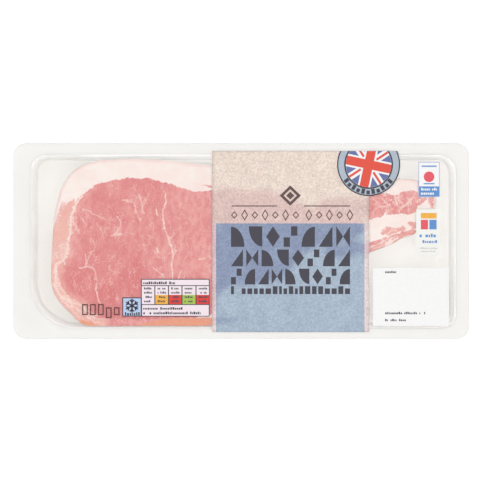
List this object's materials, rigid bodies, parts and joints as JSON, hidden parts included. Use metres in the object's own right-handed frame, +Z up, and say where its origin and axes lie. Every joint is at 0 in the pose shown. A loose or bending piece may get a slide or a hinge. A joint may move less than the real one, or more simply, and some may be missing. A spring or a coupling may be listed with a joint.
{
  "type": "bacon pack",
  "caption": "Sealed flat pack of sliced back bacon: white moulded tray with a flange, stacked rashers, clear lid film and a printed label band.",
  "frame": {"origin": "on the surface the tray stands on, below the middle of the flange's outline", "axes": "+X along the pack, from the round loin end to the label's date panel end; +Y across the pack, towards the rashers' back fat; +Z up, out of the film"},
  "size_m": [0.268, 0.1154, 0.0209],
  "materials": {
    "tray_plastic": "satin white thermoformed sheet",
    "clear_film": "taut clear lidding film",
    "label_print": "satin ink on film, beige above and blue below, slightly see-through",
    "white_print": "satin white ink on film",
    "bacon": "moist raw cured meat, pink lean with creamy white fat"
  },
  "bodies": {
    "root": {"tray": "tray_plastic", "film": "clear_film", "label": "label_print", "date_panel": "white_print", "rasher_1": "bacon", "rasher_2": "bacon", "rasher_3": "bacon", "rasher_4": "bacon", "rasher_5": "bacon", "rasher_6": "bacon", "rasher_7": "bacon", "rasher_8": "bacon"}
  },
  "joints": []
}
